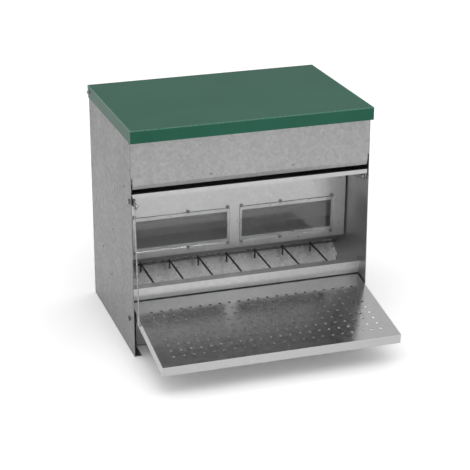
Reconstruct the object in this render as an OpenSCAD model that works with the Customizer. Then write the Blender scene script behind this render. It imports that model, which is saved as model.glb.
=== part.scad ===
// Treadle feeder for poultry: a folded-sheet feed cabinet with a hinged lid,
// a swinging feed flap and a foot treadle that works the flap through a rod.
// Units are millimetres, +Z is up and the treadle points towards -Y.
// Profiles are written as [y, z] pairs measured from the cabinet's front plane.
// The rest pose is the fed position: treadle down and flap swung open.

/* [Cabinet] */
// Overall width across the side panels
body_w = 500; // [400:1:600]
// Depth of the side panels
body_d = 344; // [280:1:400]
// Height of the side panels at the front edge
side_front_h = 483; // [440:0.5:520]
// Height of the side panels at the back edge
side_back_h = 467; // [430:0.5:500]
// Thickness of the folded sheet
sheet = 1.2; // [0.8:0.1:2]
// Height of the front panel's lower edge
front_panel_z = 360; // [340:1:380]
// Width of the folded flanges
flange_w = 14; // [10:1:20]

/* [Lid] */
// Outer width of the lid
lid_w = 503.6; // [450:0.1:560]
// Height of the lid's top at its front edge
lid_front_z = 485.5; // [460:0.5:510]
// Height of the lid's top at its back edge
lid_back_z = 475.2; // [450:0.5:500]
// Depth of the lid's front and side flanges
lid_flange = 26; // [18:0.5:34]
// Overhang of the lid in front of the cabinet
lid_overhang = 13; // [5:0.5:25]

/* [Pivots] */
// Height of the lid hinge line
hinge_z = 462; // [450:0.5:470]
// Depth of the lid hinge line behind the front plane
hinge_y = 336; // [320:0.5:340]
// Height of the flap pivot
flap_pivot_z = 333; // [320:0.5:345]
// Depth of the flap pivot behind the front plane
flap_pivot_y = 13; // [8:0.5:20]
// Height of the treadle pivot
treadle_pivot_z = 71; // [60:0.5:80]
// Depth of the treadle pivot behind the front plane
treadle_pivot_y = 36; // [30:0.5:42]
// Radius of the pivot bolts
bolt_r = 3; // [2:0.1:4]
// Radius of the lid hinge screws
screw_r = 2.5; // [2:0.1:3]
// Radial running clearance of every turning hole
run_gap = 0.06; // [0.02:0.01:0.1]

/* [Flap] */
// Outer width of the flap
flap_w = 492; // [400:1:494]
// Depth of the flap plate's top behind the front plane
flap_back_y = 113.7; // [100:0.1:120]
// Lean of the flap plate from vertical, in degrees
flap_lean = 2.07; // [0:0.01:6]
// Width of a window opening
window_w = 198; // [150:1:210]
// Height of a window opening
window_h = 61; // [40:1:90]
// Distance from the flap's centre to a window's centre
window_x = 115; // [110:0.5:120]
// Height of the window centres
window_z = 216; // [200:0.5:230]
// Thickness of the clear panes
pane_t = 2; // [1:0.1:4]

/* [Treadle] */
// Outer width of the treadle
treadle_w = 492; // [400:1:494]
// Length of the treadle plate
treadle_len = 239; // [180:1:280]
// Slope of the treadle plate in the rest pose, in degrees
treadle_slope = 8.28; // [4:0.01:14]
// Depth of the treadle's edge flanges
treadle_flange = 20; // [12:0.5:30]
// Thickness of the treadle sheet
treadle_t = 1.2; // [1:0.1:3]
// Radius of the drain holes
drain_r = 3; // [2:0.1:4]
// Number of drain holes across
drain_cols = 22; // [10:1:24]
// Number of drain holes front to back
drain_rows = 9; // [4:1:10]
// Spacing of the drain holes
drain_pitch = 20.5; // [16:0.1:24]

/* [Rod] */
// Radius of the link rod
rod_r = 1.3; // [1:0.1:2.5]
// Distance of the rod from the centre plane
rod_x = 247.9; // [247:0.1:249]
// Extra radius of the horn hole, which takes up the linkage's play
horn_play = 0.45; // [0.3:0.05:0.8]

/* [Feed grille] */
// Number of grille wires
wire_count = 7; // [4:1:9]
// Spacing of the grille wires
wire_pitch = 63.1; // [50:0.1:70]
// Radius of the grille wires
wire_r = 2; // [1.5:0.1:3]
// Sideways offset of the grille wires
grille_x = -2.3; // [-10:0.1:10]

/* [Hidden] */
$fn = 48;
// Moves the measured profiles so that the feeder is centred front to back
shift_y = -71.8;
half_w = body_w / 2;
inner_x = half_w - sheet;
tab_t = sheet + 0.2;
inside_half = inner_x - sheet - 0.1;
front_half = 246;
hem_rivet_z = 378;
lid_half = lid_w / 2;
lid_fall = (lid_front_z - lid_back_z) / (body_d + 2.2 + lid_overhang);
flap_half = flap_w / 2;
treadle_half = treadle_w / 2;
lean_tan = tan(flap_lean);
flap_pivot = [flap_pivot_y, flap_pivot_z];
treadle_pivot = [treadle_pivot_y, treadle_pivot_z];
hinge = [hinge_y, hinge_z];
rod_low = [-36, 85];
rod_high = [-18.82, 333.02];
treadle_rear = [33.9, 104.7];
arm_t = 2;
ear_t = 2;
galvanised = [0.72, 0.74, 0.75];
dull_zinc = [0.55, 0.57, 0.58];
paint = [0.18, 0.40, 0.32];
clear_pane = [0.8, 0.88, 0.9, 0.35];

// Cabinet sheet profiles, front to back
front_profile = [[0, 481.6], [0, 369], [3.5, 360], [flange_w, 360]];
wall_profile = [
    [1.25, 392],
    [1.25, 372],
    [54, 343],
    [126, 322],
    [150, 226],
    [168, 190],
    [166, 134.6]
];
floor_profile = [[342.8, 209], [342.8, 197.2], [150, 77.2], [47.9, 74]];
lip_profile = [[46.6, 62], [46.6, 96], [30, 136], [51, 136]];
kick_profile = [[47.8, 72], [47.8, 1.2], [66, 1.2]];

// The flap runs from its front lip over a sloping top to the window plate
flap_lip_z = 351;
flap_bend_z = 318;
flap_foot_z = 162;
flap_bend_y = flap_back_y + sheet;
flap_fall = (flap_lip_z - flap_bend_z) / flap_bend_y;
flap_profile = [
    [0, 342],
    [0, flap_lip_z],
    [flap_bend_y, flap_bend_z],
    [flap_bend_y + (flap_bend_z - flap_foot_z) * lean_tan, flap_foot_z]
];

// Fixing positions on the side panels
rivet_r = 1.6;
side_marks = [
    [60, 347.5],
    [160.5, 219],
    [187, 107],
    [250, 146],
    [336, 60],
    [336, 160],
    [336, 300],
    [336, 420],
    [7, 400],
    [7, 455]
];
hem_marks_x = [-86, 86];
lip_marks_x = [-200, -100, 0, 100, 200];
arm_marks = [[8, 92], [-62, 84], [-98, 78.6]];

// ---- Shared shapes ----

function unit(v) = v / norm(v);
function side_normal(a, b) = [-(b - a)[1], (b - a)[0]] / norm(b - a);

// Offset of vertex i of polyline p by t, mitred between its two segments
function mitred(p, i, t) =
    let (n = len(p))
    let (before = i == 0 ? side_normal(p[0], p[1]) : side_normal(p[i - 1], p[i]))
    let (after = i == n - 1 ? before : side_normal(p[i], p[i + 1]))
    let (m = unit(before + after))
    p[i] + m * t / (m * before);

// Outline of a sheet of thickness t folded along the polyline p
function strip(p, t) = concat(
    p,
    [for (i = [len(p) - 1 : -1 : 0]) mitred(p, i, t)]
);

module placed() {
    translate([0, shift_y, 0]) children();
}

// Turns a 2-D [y, z] drawing into a solid between x0 and x1
module across(x0, x1) {
    translate([x0, 0, 0])
        rotate([90, 0, 90])
            linear_extrude(x1 - x0)
                children();
}

module folded_sheet(profile, x0, x1, t) {
    across(x0, x1) polygon(strip(profile, t));
}

module at(point) {
    translate([point[0], point[1], 0]) children();
}

module mirrored_pair() {
    children();
    mirror([1, 0, 0]) children();
}

// Pin along +X from x0 to x1, centred on a [y, z] point
module cross_pin(point, x0, x1, r) {
    translate([x0, point[0], point[1]])
        rotate([0, 90, 0])
            cylinder(h = x1 - x0, r = r);
}

// Low domed rivet head whose base lies at x0 and which rises towards +X
module rivet_head(point, x0, r, h) {
    translate([x0, point[0], point[1]])
        rotate([0, 90, 0])
            cylinder(h = h, r1 = r, r2 = r * 0.6);
}

module hex_nut(point, x0, x1, flats) {
    translate([x0, point[0], point[1]])
        rotate([0, 90, 0])
            cylinder(h = x1 - x0, r = flats / sqrt(3), $fn = 6);
}

// ---- Cabinet ----

module side_outline() {
    difference() {
        polygon([
            [0, 0],
            [body_d, 0],
            [body_d, side_back_h],
            [body_d - 2, side_back_h + 3],
            [body_d - 14, side_back_h + 6.4],
            [0, side_front_h]
        ]);
        at(hinge) circle(r = screw_r);
        at(flap_pivot) circle(r = bolt_r);
        at(treadle_pivot) circle(r = bolt_r);
    }
}

// Bores for the rivets that join each side panel to the sheets between them
module side_rivet_bores() {
    mirrored_pair()
        for (p = side_marks)
            cross_pin(p, -half_w - 2, -inner_x + 2 * sheet, rivet_r);
}

// Left-hand panel with its inward foot and top flanges
module side_panel() {
    difference() {
        across(-half_w, -inner_x) side_outline();
        side_rivet_bores();
    }
    across(-inner_x, -inner_x + flange_w)
        polygon([[2, 0], [body_d - 2, 0], [body_d - 2, sheet], [2, sheet]]);
    across(-inner_x, -inner_x + flange_w)
        polygon([
            [16, side_front_h - 0.5],
            [body_d - 18, side_front_h - 9.6],
            [body_d - 18, side_front_h - 9.6 - sheet],
            [16, side_front_h - 0.5 - sheet]
        ]);
}

module side_panel_left() {
    color(galvanised) placed() side_panel();
}

module side_panel_right() {
    color(galvanised) placed() mirror([1, 0, 0]) side_panel();
}

// Flat tab lying against the inner face of each side panel
module side_tabs(outline, t) {
    mirrored_pair()
        across(-inner_x, -inner_x + t)
            polygon(outline);
}

module back_panel() {
    inner_y = body_d - sheet;
    profile = [[body_d - 16, sheet], [body_d, sheet], [body_d, 466]];
    color(galvanised) placed()
        difference() {
            union() {
                folded_sheet(profile, -inner_x, inner_x, sheet);
                side_tabs([
                    [inner_y, 8],
                    [inner_y, 458],
                    [inner_y - flange_w, 450],
                    [inner_y - flange_w, 16]
                ], sheet);
            }
            side_rivet_bores();
        }
}

module front_panel() {
    color(galvanised) placed()
        difference() {
            union() {
                folded_sheet(front_profile, -front_half, front_half, sheet);
                side_tabs([[0, 384], [flange_w, 390], [flange_w, 468], [0, 474]], sheet);
                side_tabs([[0, 384], [sheet, 384], [sheet, 474], [0, 474]], inner_x - front_half);
            }
            side_rivet_bores();
            hem_rivet_bores();
        }
}

module hopper_front_wall() {
    color(galvanised) placed()
        difference() {
            union() {
                folded_sheet(wall_profile, -inside_half, inside_half, sheet);
                side_tabs([
                    [40, 351.4],
                    [54, 343.7],
                    [100, 330.6],
                    [104, 342],
                    [58, 355],
                    [44, 363]
                ], tab_t);
                side_tabs([
                    [141, 264],
                    [150.6, 226],
                    [168, 192],
                    [179, 198],
                    [162.5, 229],
                    [153, 267]
                ], tab_t);
            }
            side_rivet_bores();
            hem_rivet_bores();
        }
}

module hopper_floor() {
    color(galvanised) placed()
        difference() {
            union() {
                folded_sheet(floor_profile, -inside_half, inside_half, -sheet);
                side_tabs([[168, 88.9], [290, 164.9], [282, 174], [162, 99]], tab_t);
            }
            side_rivet_bores();
        }
}

module lip_rivet_bores() {
    for (x = lip_marks_x)
        translate([x, 45, 67])
            rotate([-90, 0, 0])
                cylinder(h = 5, r = rivet_r);
}

module trough_lip() {
    color(galvanised) placed()
        difference() {
            folded_sheet(lip_profile, -inner_x, inner_x, -sheet);
            lip_rivet_bores();
        }
}

module kick_panel() {
    half = inner_x - flange_w - 1;
    color(galvanised) placed()
        difference() {
            folded_sheet(kick_profile, -half, half, sheet);
            lip_rivet_bores();
        }
}

// Rivets that join the trough lip to the kick panel
module lip_rivets() {
    color(dull_zinc) placed()
        for (x = lip_marks_x)
            translate([x, 46.6, 67])
                rotate([-90, 0, 0]) {
                    translate([0, 0, -1]) cylinder(h = 1, r1 = 1.8, r2 = 3);
                    cylinder(h = 2 * sheet, r = rivet_r);
                    translate([0, 0, 2 * sheet]) cylinder(h = 1, r1 = 2.6, r2 = 1.6);
                }
}

// Wire grille: long wires over the trough with short bent-down rear ends, a front
// cross rod, and a rear cross rod that reaches both side panels. Each wire is a
// separate solid that touches its neighbours
module feed_grille() {
    wire_z = 131.4;
    wire_front = 34.8;
    wire_back = 165;
    tail_foot = 112;
    touching = 2 * wire_r + 0.02;
    span = wire_pitch * (wire_count - 1) / 2;
    reach = inner_x - 0.02;
    color(dull_zinc) placed() {
        for (i = [0 : wire_count - 1]) {
            translate([grille_x - span + i * wire_pitch, 0, 0]) {
                translate([0, wire_front, wire_z])
                    rotate([-90, 0, 0])
                        cylinder(h = wire_back + wire_r - wire_front, r = wire_r);
                translate([0, wire_back, tail_foot])
                    cylinder(h = wire_z - wire_r - 0.02 - tail_foot, r = wire_r);
            }
        }
        cross_pin([40, wire_z - touching], grille_x - span - 12, grille_x + span + 12, wire_r);
        cross_pin([wire_back + touching, wire_z - touching], -reach, reach, wire_r);
    }
}

// Rivets through the left side panel into the tabs behind it
module side_rivets() {
    inner_face = -inner_x + sheet;
    for (p = side_marks) {
        cross_pin(p, -half_w, inner_face, rivet_r);
        mirror([1, 0, 0]) rivet_head(p, half_w, 3.2, 1.3);
        rivet_head(p, inner_face + tab_t - sheet, 2.6, 1.1);
        cross_pin(p, inner_face, inner_face + tab_t - sheet, rivet_r);
    }
}

module panel_rivets_left() {
    color(dull_zinc) placed() side_rivets();
}

module panel_rivets_right() {
    color(dull_zinc) placed() mirror([1, 0, 0]) side_rivets();
}

module hem_rivet_bores() {
    for (x = hem_marks_x)
        translate([x, -1, hem_rivet_z])
            rotate([-90, 0, 0])
                cylinder(h = 5, r = rivet_r);
}

// Rivets that join the front panel to the hopper's front wall
module front_panel_rivets() {
    color(dull_zinc) placed()
        for (x = hem_marks_x)
            translate([x, 0, hem_rivet_z])
                rotate([-90, 0, 0]) {
                    translate([0, 0, -1]) cylinder(h = 1, r1 = 1.8, r2 = 3);
                    cylinder(h = 1.25 + sheet, r = rivet_r);
                    translate([0, 0, 1.25 + sheet]) cylinder(h = 1, r1 = 2.6, r2 = 1.6);
                }
}

// ---- Bolts that carry the moving bodies ----

// One bolt on the left side: head outside, shank running inwards
module pivot_bolt(point, head_x, tip_x, r, head_flats, head_h) {
    hex_nut(point, head_x - head_h, head_x, head_flats);
    cross_pin(point, head_x, tip_x, r);
}

module lid_hinge_screws() {
    color(dull_zinc) placed()
        mirrored_pair() {
            cross_pin(hinge, -lid_half - 0.4, -half_w + 7.6, screw_r);
            mirror([1, 0, 0]) rivet_head(hinge, lid_half + 0.4, 5, 3.2);
        }
}

module lid_hinge_nuts() {
    color(dull_zinc) placed()
        mirrored_pair() ring_nut(hinge, -inner_x, -inner_x + 4, 8, screw_r);
}

module ring_nut(point, x0, x1, flats, bore_r) {
    translate([x0, point[0], point[1]])
        rotate([0, 90, 0])
            difference() {
                cylinder(h = x1 - x0, r = flats / sqrt(3), $fn = 6);
                translate([0, 0, -1]) cylinder(h = x1 - x0 + 2, r = bore_r);
            }
}

module ring(point, x0, x1, outer_r, bore_r) {
    translate([x0, point[0], point[1]])
        rotate([0, 90, 0])
            difference() {
                cylinder(h = x1 - x0, r = outer_r);
                translate([0, 0, -1]) cylinder(h = x1 - x0 + 2, r = bore_r);
            }
}

module flap_pivot_bolts() {
    color(dull_zinc) placed()
        mirrored_pair() pivot_bolt(flap_pivot, -half_w, -238, bolt_r, 10, 3.6);
}

module flap_pivot_spacers() {
    color(dull_zinc) placed()
        mirrored_pair() ring(flap_pivot, -inner_x, -flap_half - 0.4, 6, bolt_r);
}

module flap_pivot_nuts() {
    nut_x = -flap_half + ear_t + 0.4;
    color(dull_zinc) placed()
        mirrored_pair() ring_nut(flap_pivot, nut_x, nut_x + 4.4, 10, bolt_r);
}

module treadle_pivot_bolts() {
    color(dull_zinc) placed()
        mirrored_pair() pivot_bolt(treadle_pivot, -half_w, -236, bolt_r, 10, 3.6);
}

module treadle_pivot_spacers() {
    color(dull_zinc) placed()
        mirrored_pair() ring(treadle_pivot, -inner_x, -treadle_half + treadle_t - 0.3, 6, bolt_r);
}

module treadle_pivot_nuts() {
    nut_x = -treadle_half + treadle_t + arm_t + 0.4;
    color(dull_zinc) placed()
        mirrored_pair() ring_nut(treadle_pivot, nut_x, nut_x + 4.4, 10, bolt_r);
}

// ---- Lid ----

function lid_top_z(y) = lid_front_z - (y + lid_overhang) * lid_fall;

module lid() {
    front_y = -lid_overhang;
    back_y = body_d + 2.2;
    color(paint) placed() {
        // Top sheet
        across(-lid_half, lid_half)
            polygon([
                [front_y, lid_top_z(front_y)],
                [back_y, lid_top_z(back_y)],
                [back_y, lid_top_z(back_y) - sheet],
                [front_y, lid_top_z(front_y) - sheet]
            ]);
        // Front flange
        across(-lid_half, lid_half)
            polygon([
                [front_y, lid_front_z],
                [front_y + sheet, lid_front_z],
                [front_y + sheet, lid_front_z - lid_flange],
                [front_y, lid_front_z - lid_flange]
            ]);
        // Short rear hem
        across(-lid_half, lid_half)
            polygon([
                [back_y - sheet, lid_top_z(back_y)],
                [back_y, lid_top_z(back_y)],
                [back_y, lid_top_z(back_y) - 4],
                [back_y - sheet, lid_top_z(back_y) - 4]
            ]);
        // Side flanges with their running holes
        mirrored_pair()
            across(-lid_half, -lid_half + sheet)
                difference() {
                    polygon([
                        [front_y, lid_front_z],
                        [back_y, lid_top_z(back_y)],
                        [back_y, lid_top_z(back_y) - 4],
                        [back_y - 4, lid_top_z(back_y) - lid_flange],
                        [front_y, lid_front_z - lid_flange]
                    ]);
                    at(hinge) circle(r = screw_r + run_gap);
                }
    }
}

// ---- Flap ----

// Places children on the front face of the leaning flap plate at height z
module on_flap_plate(x, z) {
    translate([x, flap_back_y + (flap_bend_z - z) * lean_tan, z])
        rotate([flap_lean, 0, 0])
            children();
}

// Places children at each window clip, facing forwards
module at_window_clips() {
    for (side = [-1, 1], dx = [-100, side * -14, 100], up = [-1, 1])
        on_flap_plate(side * window_x + dx, window_z + up * 40.2)
            children();
}

// Places children at each ear rivet, upright on the flap's sloping top
module at_ear_rivets() {
    mirrored_pair()
        for (y = [36, 60, 84])
            translate([-flap_half + 8, y, flap_lip_z - flap_fall * y])
                rotate([-atan(flap_fall), 0, 0])
                    children();
}

module flap_panel() {
    color(galvanised) placed()
        difference() {
            folded_sheet(flap_profile, -flap_half, flap_half, -sheet);
            for (x = [-window_x, window_x])
                on_flap_plate(x, window_z)
                    cube([window_w, 20, window_h], center = true);
            at_window_clips() rotate([90, 0, 0]) cylinder(h = 8, r = 1.4, center = true);
            at_ear_rivets() cylinder(h = 8, r = rivet_r, center = true);
        }
}

// Ear on the left, with the pivot hole and, where asked for, the horn for the rod
module flap_ear(horn) {
    across(-flap_half, -flap_half + ear_t)
        difference() {
            union() {
                at(flap_pivot) circle(r = 8);
                polygon([
                    [8, 325.5],
                    [13, 325],
                    [60, 314],
                    [98, 310],
                    [98, 320.2],
                    [20, 343],
                    [8, 341]
                ]);
                if (horn) {
                    at(rod_high) circle(r = 6.5);
                    polygon([[-18.8, 326.6], [12, 326.6], [12, 340], [-18.8, 339.5]]);
                }
            }
            at(flap_pivot) circle(r = bolt_r + run_gap);
            if (horn) at(rod_high) circle(r = rod_r + horn_play);
        }
}

// Folded tab that fixes the ear under the flap's sloping top
module ear_tab() {
    under = 1.28;
    function below_top(y, d) = [y, flap_lip_z - flap_fall * y - d];
    difference() {
        across(-flap_half, -flap_half + 14)
            polygon([
                below_top(22, under),
                below_top(96, under),
                below_top(96, under + ear_t),
                below_top(22, under + ear_t)
            ]);
        at_ear_rivets() cylinder(h = 12, r = rivet_r, center = true);
    }
}

module flap_ear_left() {
    color(dull_zinc) placed() {
        flap_ear(true);
        ear_tab();
    }
}

module flap_ear_right() {
    color(dull_zinc) placed() mirror([1, 0, 0]) {
        flap_ear(false);
        ear_tab();
    }
}

module flap_ear_rivets() {
    color(dull_zinc) placed()
        at_ear_rivets() {
            translate([0, 0, -4.4]) cylinder(h = 4.5, r = rivet_r);
            cylinder(h = 1, r1 = 3, r2 = 1.8);
        }
}

module window_pane() {
    on_flap_plate(window_x, window_z)
        translate([-104, -pane_t - 0.02, -38.5])
            cube([208, pane_t, 77]);
}

module window_left() {
    color(clear_pane) placed() mirror([1, 0, 0]) window_pane();
}

module window_right() {
    color(clear_pane) placed() window_pane();
}

// Small riveted clips that hold the panes by their upper and lower edges
module window_clips() {
    color(dull_zinc) placed()
        at_window_clips() {
            translate([-3, -pane_t - 1.1, -3]) cube([6, 1, 6]);
            rotate([90, 0, 0]) translate([0, 0, -2.4]) cylinder(h = 5, r = 1.4);
            rotate([90, 0, 0])
                translate([0, 0, pane_t + 1])
                    cylinder(h = 1, r1 = 2.4, r2 = 1.6);
        }
}

// ---- Treadle ----

// Local frame of the treadle plate: origin at its rear top edge, -Y forwards
module on_treadle() {
    translate([0, treadle_rear[0], treadle_rear[1]])
        rotate([treadle_slope, 0, 0])
            children();
}

module treadle_plate() {
    first_row = 43;
    across_span = drain_pitch * (drain_cols - 1) / 2;
    color(galvanised) placed()
        difference() {
            on_treadle() {
                difference() {
                    translate([-treadle_half, -treadle_len, -treadle_t])
                        cube([treadle_w, treadle_len, treadle_t]);
                    for (i = [0 : drain_cols - 1], j = [0 : drain_rows - 1])
                        translate([-across_span + i * drain_pitch, -first_row - j * drain_pitch, -5])
                            cylinder(h = 10, r = drain_r, $fn = 24);
                }
                translate([-treadle_half, -treadle_len, -treadle_flange])
                    cube([treadle_w, treadle_t, treadle_flange]);
                mirrored_pair()
                    translate([-treadle_half, -treadle_len, -treadle_flange])
                        cube([treadle_t, treadle_len - 6, treadle_flange]);
            }
            cross_pin(rod_low, -half_w - 2, -half_w + 20, rod_r + run_gap);
            for (p = arm_marks) cross_pin(p, -half_w - 2, half_w + 2, rivet_r);
        }
}

// Left-hand arm from the pivot forwards, riveted inside the side flange, with or
// without the hole that takes the rod
module treadle_arm(rod_hole) {
    x0 = -treadle_half + treadle_t;
    across(x0, x0 + arm_t)
        difference() {
            union() {
                at(treadle_pivot) circle(r = 8);
                polygon([
                    [43, 75],
                    [33, 102],
                    [20, 101.4],
                    [-110, 82.4],
                    [-110, 72],
                    [-44, 76],
                    [20, 76],
                    [31, 65]
                ]);
            }
            at(treadle_pivot) circle(r = bolt_r + run_gap);
            if (rod_hole) at(rod_low) circle(r = rod_r + run_gap);
            for (p = arm_marks) at(p) circle(r = rivet_r);
        }
}

module treadle_arm_left() {
    color(dull_zinc) placed() treadle_arm(true);
}

module treadle_arm_right() {
    color(dull_zinc) placed() mirror([1, 0, 0]) treadle_arm(false);
}

module treadle_arm_rivets() {
    x0 = -treadle_half;
    color(dull_zinc) placed()
        mirrored_pair()
            for (p = arm_marks) {
                cross_pin(p, x0, x0 + treadle_t + arm_t, rivet_r);
                rivet_head(p, x0 + treadle_t + arm_t, 3, 1);
            }
}

// Hat-section stiffener under the treadle plate, behind its front flange
module treadle_stiffener() {
    color(galvanised) placed()
        on_treadle()
            folded_sheet(
                [
                    [-236, -treadle_t],
                    [-232, -treadle_t],
                    [-230, -14],
                    [-218, -14],
                    [-216, -treadle_t],
                    [-212, -treadle_t]
                ],
                -treadle_half + 5, treadle_half - 5, -sheet
            );
}

// ---- Link rod ----

// Rod on the left with both ends bent inwards to act as pins
module link_rod() {
    run = rod_high - rod_low;
    tilt = atan2(-run[0], run[1]);
    color(dull_zinc) placed() {
        translate([-rod_x, rod_low[0], rod_low[1]])
            rotate([tilt, 0, 0])
                cylinder(h = norm(run), r = rod_r);
        for (p = [rod_low, rod_high]) {
            translate([-rod_x, p[0], p[1]]) sphere(r = rod_r + 0.2);
            cross_pin(p, -rod_x, -237.6, rod_r);
        }
    }
}

// Push-on retaining clips on the rod's two bent ends
module link_clips() {
    low_x = -treadle_half + treadle_t + arm_t + 0.5;
    high_x = -flap_half + ear_t + 0.5;
    color(dull_zinc) placed() {
        ring(rod_low, low_x, low_x + 1.6, 4, rod_r);
        ring(rod_high, high_x, high_x + 1.6, 4, rod_r);
    }
}

// ---- Selection ----

side_panel_left();
side_panel_right();
back_panel();
front_panel();
hopper_front_wall();
hopper_floor();
trough_lip();
kick_panel();
feed_grille();
panel_rivets_left();
panel_rivets_right();
front_panel_rivets();
lip_rivets();
lid_hinge_screws();
lid_hinge_nuts();
flap_pivot_bolts();
flap_pivot_spacers();
flap_pivot_nuts();
treadle_pivot_bolts();
treadle_pivot_spacers();
treadle_pivot_nuts();
lid();
flap_panel();
flap_ear_left();
flap_ear_right();
flap_ear_rivets();
window_left();
window_right();
window_clips();
treadle_plate();
treadle_arm_left();
treadle_arm_right();
treadle_arm_rivets();
treadle_stiffener();
link_rod();
link_clips();
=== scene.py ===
"""Looks, camera and light for the treadle chicken feeder. Metres, +Z up, -Y towards the birds."""
import math

import bpy
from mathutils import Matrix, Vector


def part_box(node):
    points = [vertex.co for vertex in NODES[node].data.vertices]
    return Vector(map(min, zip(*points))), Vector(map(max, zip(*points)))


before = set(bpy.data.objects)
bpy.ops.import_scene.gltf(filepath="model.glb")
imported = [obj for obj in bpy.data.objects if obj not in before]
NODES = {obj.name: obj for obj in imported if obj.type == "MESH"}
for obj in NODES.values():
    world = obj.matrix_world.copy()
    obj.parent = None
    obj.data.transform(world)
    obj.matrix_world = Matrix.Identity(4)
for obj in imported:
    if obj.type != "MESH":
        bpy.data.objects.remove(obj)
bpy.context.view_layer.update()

MM = 0.001


# ---- Camera ----

AZIMUTH, ELEVATION = math.radians(-17.78), math.radians(21.96)
DISTANCE = 3.501
SENSOR_MM, LENS_MM = 36.0, 127.9
TARGET = Vector((0.0037, 0.0532, 0.1878))


def add_camera():
    back = Vector((
        math.sin(AZIMUTH) * math.cos(ELEVATION),
        -math.cos(AZIMUTH) * math.cos(ELEVATION),
        math.sin(ELEVATION),
    ))
    data = bpy.data.cameras.new("camera")
    data.sensor_width, data.lens = SENSOR_MM, LENS_MM
    camera = bpy.data.objects.new("camera", data)
    camera.location = TARGET + back * DISTANCE
    camera.rotation_euler = (-back).to_track_quat("-Z", "Y").to_euler()
    bpy.context.collection.objects.link(camera)
    bpy.context.scene.camera = camera


add_camera()


# ---- Node helpers ----

class Shader:
    """A material's node tree with short calls for the nodes used here."""

    def __init__(self, name):
        self.material = bpy.data.materials.new(name)
        self.material.use_nodes = True
        self.tree = self.material.node_tree
        self.bsdf = self.tree.nodes["Principled BSDF"]
        self.place = self.tree.nodes.new("ShaderNodeTexCoord").outputs["Object"]

    def put(self, socket, value):
        if isinstance(value, bpy.types.NodeSocket):
            self.tree.links.new(value, socket)
        else:
            socket.default_value = value

    def node(self, kind, inputs=(), **settings):
        made = self.tree.nodes.new(kind)
        for key, value in settings.items():
            setattr(made, key, value)
        for key, value in dict(inputs).items():
            self.put(made.inputs[key], value)
        return made

    def math(self, operation, a, b=0.0, clamp=False):
        return self.node("ShaderNodeMath", {0: a, 1: b}, operation=operation,
                         use_clamp=clamp).outputs[0]

    def vector_math(self, operation, a, b=None, **inputs):
        given = {0: a, **inputs}
        if b is not None:
            given[1] = b
        return self.node("ShaderNodeVectorMath", given, operation=operation).outputs[0]

    def noise(self, scale, detail=3.0, rough=0.5, stretch=None):
        where = self.place
        if stretch:
            where = self.node("ShaderNodeMapping", {"Vector": where, "Scale": stretch}).outputs[0]
        return self.node("ShaderNodeTexNoise", {
            "Vector": where, "Scale": scale, "Detail": detail, "Roughness": rough,
        }).outputs["Fac"]

    def axes(self, vector):
        return self.node("ShaderNodeSeparateXYZ", {"Vector": vector}).outputs

    def colour_parts(self, colour):
        return self.node("ShaderNodeSeparateColor", {"Color": colour}).outputs

    def outward(self):
        return self.node("ShaderNodeNewGeometry").outputs["Normal"]

    def cells(self, scale):
        return self.node("ShaderNodeTexVoronoi", {"Vector": self.place, "Scale": scale})

    def span(self, value, low, high, from_low=0.0, from_high=1.0):
        return self.node("ShaderNodeMapRange", {
            "Value": value, "From Min": from_low, "From Max": from_high,
            "To Min": low, "To Max": high,
        }).outputs["Result"]

    def blend(self, factor, a, b):
        mix = self.node("ShaderNodeMix", data_type="RGBA")
        self.put(mix.inputs["Factor"], factor)
        self.put(mix.inputs["A"], a)
        self.put(mix.inputs["B"], b)
        return mix.outputs["Result"]

    def bump(self, height, distance, strength=1.0, normal=None):
        made = self.node("ShaderNodeBump", {
            "Height": height, "Distance": distance, "Strength": strength,
        })
        if normal:
            self.put(made.inputs["Normal"], normal)
        return made.outputs["Normal"]

    def finish(self, **sockets):
        for key, value in sockets.items():
            self.put(self.bsdf.inputs[key.replace("_", " ")], value)
        return self.material


def grey(value):
    """A grey that leans very slightly to green, as zinc does."""
    return (value, value * 1.005, value, 1.0)


# ---- Materials ----

UPPER_FACING = 0.3  # least sum of a normal's Y and Z for a face that gets the painted shade of faces turned up or back
# painted shade: fade width and shade of the dark line along the lip's lower edge, standing for
# the shadowed gap over the treadle
GAP_SHADE_FADE, GAP_SHADE = 0.0015, 0.03
RIPPLE_DEPTH, GRAIN_DEPTH = 0.0012, 0.00004
LID_FALL = 10.3 * MM  # how much lower the lid's front is than its rear
LINE_HEIGHT = 0.1040  # top of the painted shade line along the lip's lower edge, standing for the shadowed gap over the treadle; height above the floor


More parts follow.
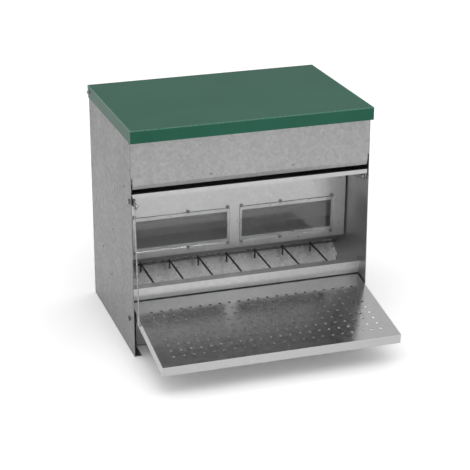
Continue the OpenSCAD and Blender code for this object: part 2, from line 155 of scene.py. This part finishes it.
def galvanised(name, shade, roughness, cell=0.008, tilt=0.03, contrast=0.08, dirt=0.2,
               ripple=0.15, bare=1.0, painted_inner_light=None, painted_upper_shade=None, gap_shade_height=None, grit=1.0):
    """Hot-dip zinc: spangle cells that differ in shade, gloss and facing, with dull streaks.

    bare is how much of the surface is bright metal; the rest is a pale zinc bloom.
    inside is the shade painted on the faces turned to the cabinet's middle, as painted light,
    and upper the painted shade of the faces turned up or back; None leaves them as the rest.
    grime is the height in metres below which painted shade darkens the metal, standing for the
    shadowed gap over the treadle; None leaves it out.
    """
    s = Shader(name)
    spangle = s.cells(1 / cell)
    fine = s.cells(2.6 / cell)
    parts = s.colour_parts(spangle.outputs["Color"])
    small = s.colour_parts(fine.outputs["Color"])
    cloud = s.noise(7.0, 4.0, 0.55)
    streak = s.noise(30.0, 3.0, 0.6, stretch=(1.0, 1.0, 0.12))
    grain = s.noise(900.0, 2.0, 0.7)
    mixed = s.math("ADD", s.math("MULTIPLY", parts[0], 0.55), s.math("MULTIPLY", small[1], 0.25))
    mixed = s.math("ADD", mixed, s.span(grain, 0.1 - 0.1 * grit, 0.1 + 0.1 * grit))
    metal = s.blend(mixed, grey(shade * (1 - contrast)), grey(shade * (1 + contrast)))
    # painted light: faces turned to the cabinet's middle get the inside shade
    if painted_inner_light is not None:
        across, turned = s.axes(s.place)["X"], s.axes(s.outward())["X"]
        inwards = s.math("LESS_THAN", s.math("MULTIPLY", across, turned), 0.0)
        metal = s.blend(inwards, metal, grey(painted_inner_light))
    # painted shade: faces turned up or back get a darker shade
    if painted_upper_shade is not None:
        turned = s.axes(s.outward())
        shaded_upward = s.math("GREATER_THAN", s.math("ADD", turned["Z"], turned["Y"]), UPPER_FACING)
        metal = s.blend(shaded_upward, metal, grey(painted_upper_shade))
    # painted shade: below grime the metal turns nearly black, standing for the shadowed gap over
    # the treadle
    if gap_shade_height is not None:
        height = s.axes(s.place)["Z"]
        in_gap_shade = s.span(height, 1.0, 0.0, gap_shade_height, gap_shade_height + GAP_SHADE_FADE)
        metal = s.blend(in_gap_shade, metal, grey(GAP_SHADE))
    dull = s.span(s.math("MULTIPLY", cloud, streak), 0.0, dirt, 0.2, 0.42)
    colour = s.blend(dull, metal, grey(shade * 0.78))
    rough = s.math("ADD", s.span(parts[2], roughness - 0.05, roughness + 0.06),
                   s.math("MULTIPLY", dull, 0.25))
    lean = s.vector_math("SUBTRACT", spangle.outputs["Color"], (0.5, 0.5, 0.5))
    lean = s.vector_math("SCALE", lean, Scale=tilt)
    tilted = s.vector_math("NORMALIZE", s.vector_math("ADD", s.outward(), lean))
    wave = s.noise(12.0, 2.0, 0.4)
    normal = s.bump(wave, RIPPLE_DEPTH, ripple, tilted)
    normal = s.bump(grain, GRAIN_DEPTH, 0.5 * grit, normal)
    return s.finish(Base_Color=colour, Metallic=bare, Roughness=rough, Normal=normal)


def zinc_plate(name, shade, roughness):
    """Plated fasteners and wire: fine grain and darker patches."""
    s = Shader(name)
    patch = s.noise(160.0, 3.0, 0.6)
    grain = s.noise(1500.0, 2.0, 0.6)
    colour = s.blend(s.span(patch, 0.0, 1.0, 0.35, 0.65),
                     grey(shade * 0.8), grey(shade * 1.15))
    rough = s.span(grain, roughness - 0.06, roughness + 0.1)
    return s.finish(Base_Color=colour, Metallic=1.0, Roughness=rough,
                    Normal=s.bump(grain, 0.00005, 0.6))


def painted_lid(name):
    """Satin powder coat: orange-peel bump, faint fading and paler rubbed edges."""
    s = Shader(name)
    low, high = (Vector(v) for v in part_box("lid"))
    spot = s.axes(s.place)
    fade = s.noise(5.0, 3.0, 0.5)
    speck = s.noise(260.0, 3.0, 0.65)
    colour = s.blend(s.span(fade, 0.0, 1.0, 0.3, 0.7),
                     (0.010, 0.070, 0.043, 1), (0.014, 0.084, 0.053, 1))
    side = s.math("SUBTRACT", high.x, s.math("ABSOLUTE", spot["X"]))
    front = s.math("SUBTRACT", spot["Y"], low.y)
    inwards = s.math("MINIMUM", side, front)
    fall = LID_FALL / (high.y - low.y)
    top = s.math("SUBTRACT", high.z, s.math("MULTIPLY", front, fall))
    below = s.math("ABSOLUTE", s.math("SUBTRACT", top, spot["Z"]))
    rub = s.span(s.math("MAXIMUM", inwards, below), 1.0, 0.0, 0.0008, 0.0026)
    rub = s.math("MULTIPLY", rub, s.span(speck, 0.25, 0.9, 0.42, 0.6), clamp=True)
    colour = s.blend(rub, colour, (0.10, 0.22, 0.17, 1))
    peel = s.noise(700.0, 2.0, 0.5)
    wave = s.noise(9.0, 2.0, 0.4)
    normal = s.bump(wave, 0.0015, 0.3)
    normal = s.bump(peel, 0.00003, 0.6, normal)
    return s.finish(Base_Color=colour, Roughness=s.span(speck, 0.33, 0.42),
                    Normal=normal, Specular_IOR_Level=0.13)


def clear_pane(name):
    """Clear plastic sheet, faintly scuffed."""
    s = Shader(name)
    scuff = s.noise(60.0, 5.0, 0.7, stretch=(1.0, 1.0, 4.0))
    rough = s.span(scuff, 0.03, 0.12, 0.4, 0.75)
    return s.finish(Base_Color=(0.94, 0.945, 0.945, 1), Roughness=rough,
                    Transmission_Weight=1.0, IOR=1.49)


# The galvanised parts below share one zinc; each part's shade is set to how bright it looks in
# the light it gets, so the shade differences between them are painted light and shade.
OUTER = galvanised("galvanised_outer", 0.21, 0.40, cell=0.006, contrast=0.14, dirt=0.14)
# painted light: the side panels' inner faces are lighter than their outer faces
SIDES = galvanised("galvanised_sides", 0.21, 0.40, cell=0.006, contrast=0.14, dirt=0.14,
                   painted_inner_light=0.40)
FRONT = galvanised("galvanised_front", 0.32, 0.38, cell=0.006, contrast=0.14, dirt=0.14)
# painted light: the trough floor is near white, standing for the light falling into the trough
LIT_INNER = galvanised("galvanised_inner_lit", 0.90, 0.28, tilt=0.006, contrast=0.05, dirt=0.06,
                   ripple=0.04, bare=0.4, grit=0.1)
KICK = galvanised("galvanised_kick", 0.34, 0.50, bare=0.2, grit=0.2)
# painted shade: the hopper wall seen through the windows is dark, standing for the unlit space
# behind the flap
SHADED_WALL = galvanised("galvanised_wall_shaded", 0.22, 0.50, tilt=0.01, contrast=0.05, ripple=0.05)
TREAD = galvanised("galvanised_treadle", 0.43, 0.17, tilt=0.0015, contrast=0.03, dirt=0.06,
                   ripple=0.01, bare=0.94, grit=0.1)
FLAP = galvanised("galvanised_flap", 0.44, 0.32, tilt=0.0015, contrast=0.05, dirt=0.10,
                  ripple=0.03, bare=0.88, grit=0.1)
# painted shade: upper darkens the lip's return, which faces up into the trough
LIP = galvanised("galvanised_lip", 0.60, 0.36, tilt=0.008, contrast=0.08, bare=0.6, painted_upper_shade=0.26,
                 gap_shade_height=LINE_HEIGHT, grit=0.3)
HARDWARE = zinc_plate("zinc_hardware", 0.25, 0.35)
WIRE = zinc_plate("zinc_wire", 0.10, 0.40)
ROD = zinc_plate("zinc_rod", 0.34, 0.34)
GREEN = painted_lid("green_powder_coat")
CLEAR = clear_pane("clear_plastic")

LOOKS = {
    "side_panel_left": SIDES, "side_panel_right": SIDES, "back_panel": OUTER,
    "front_panel": FRONT, "hopper_front_wall": SHADED_WALL, "hopper_floor": LIT_INNER,
    "trough_lip": LIP, "kick_panel": KICK, "feed_grille": WIRE,
    "lid": GREEN, "flap_panel": FLAP, "treadle_plate": TREAD,
    "treadle_stiffener": TREAD, "window_left": CLEAR, "window_right": CLEAR,
    "link_rod": ROD,
}


def dress(node, material):
    mesh = NODES[node].data
    mesh.materials.clear()
    mesh.materials.append(material)


for node in NODES:
    dress(node, LOOKS.get(node, HARDWARE))


# ---- Rolled sheet edges ----

# Bevel width of each node's edges in millimetres
EDGE_ROUNDING = {
    "lid": 0.9, "front_panel": 0.5, "side_panel_left": 0.4, "side_panel_right": 0.4,
    "back_panel": 0.4, "trough_lip": 0.5, "flap_panel": 0.4, "treadle_stiffener": 0.4,
    "hopper_floor": 0.4, "hopper_front_wall": 0.4, "kick_panel": 0.4,
    "window_left": 0.4, "window_right": 0.4, "flap_ear_left": 0.3, "flap_ear_right": 0.3,
    "treadle_arm_left": 0.3, "treadle_arm_right": 0.3, "window_clips": 0.25,
    "treadle_plate": 0.35,
}


ROUNDED_ABOVE = math.radians(40)  # edges that turn less than this stay as they are


def round_edges(node, width_mm):
    bevel = NODES[node].modifiers.new("rounded", "BEVEL")
    bevel.width = width_mm * MM
    bevel.segments = 2
    bevel.limit_method = "ANGLE"
    bevel.angle_limit = ROUNDED_ABOVE
    bevel.harden_normals = True


for node, width in EDGE_ROUNDING.items():
    round_edges(node, width)


# ---- Studio ----

WORLD_STRENGTH = 1.25
FLOOR_SIZE = 14
FLOOR_PLACE = (0, 2.0, -0.0006)  # just under the feeder, so that the two never share a plane
KEY_WATTS, TROUGH_WATTS = 18, 26


def add_floor():
    bpy.ops.mesh.primitive_plane_add(size=FLOOR_SIZE, location=FLOOR_PLACE)
    floor = bpy.context.object
    floor.name = "studio_floor"
    s = Shader("studio_floor")
    floor.data.materials.append(s.finish(Base_Color=(0.97, 0.97, 0.97, 1), Roughness=0.9,
                                         Specular_IOR_Level=0.1))


def add_lamp(name, kind, place, aim, power, **settings):
    """A lamp of power watts at place, turned to aim; settings are its own properties."""
    data = bpy.data.lights.new(name, kind)
    data.energy = power
    for key, value in settings.items():
        setattr(data, key, value)
    lamp = bpy.data.objects.new(name, data)
    lamp.location = place
    lamp.rotation_euler = (Vector(aim) - Vector(place)).to_track_quat("-Z", "Y").to_euler()
    bpy.context.collection.objects.link(lamp)


def add_world():
    """White surroundings, softer towards the horizon and behind the feeder."""
    world = bpy.data.worlds.new("studio")
    world.use_nodes = True
    nodes, links = world.node_tree.nodes, world.node_tree.links
    way = nodes.new("ShaderNodeSeparateXYZ")
    links.new(nodes.new("ShaderNodeTexCoord").outputs["Generated"], way.inputs[0])

    def fade(axis, start, end, low, high):
        made = nodes.new("ShaderNodeMapRange")
        links.new(way.outputs[axis], made.inputs["Value"])
        for key, value in zip(("From Min", "From Max", "To Min", "To Max"),
                              (start, end, low, high)):
            made.inputs[key].default_value = value
        return made.outputs["Result"]

    product = nodes.new("ShaderNodeMath")
    product.operation = "MULTIPLY"
    links.new(fade("Z", 0.0, 0.5, 0.35, 1.0), product.inputs[0])
    links.new(fade("Y", 0.1, 0.8, WORLD_STRENGTH, WORLD_STRENGTH * 0.65), product.inputs[1])
    background = nodes["Background"]
    background.inputs["Color"].default_value = (1, 1, 1, 1)
    links.new(product.outputs[0], background.inputs["Strength"])
    bpy.context.scene.world = world


def add_light():
    add_world()
    add_lamp("key", "AREA", (-0.3, -1.5, 2.3), (0, 0, 0.2), KEY_WATTS,
             shape="RECTANGLE", size=1.8, size_y=1.4)
    add_lamp("trough", "SPOT", (0.02, -1.2, 0.62), (0.0, 0.12, 0.10), TROUGH_WATTS,
             spot_size=math.radians(24), spot_blend=0.8, shadow_soft_size=0.2)
    bpy.context.scene.view_settings.view_transform = "Standard"


add_floor()
add_light()
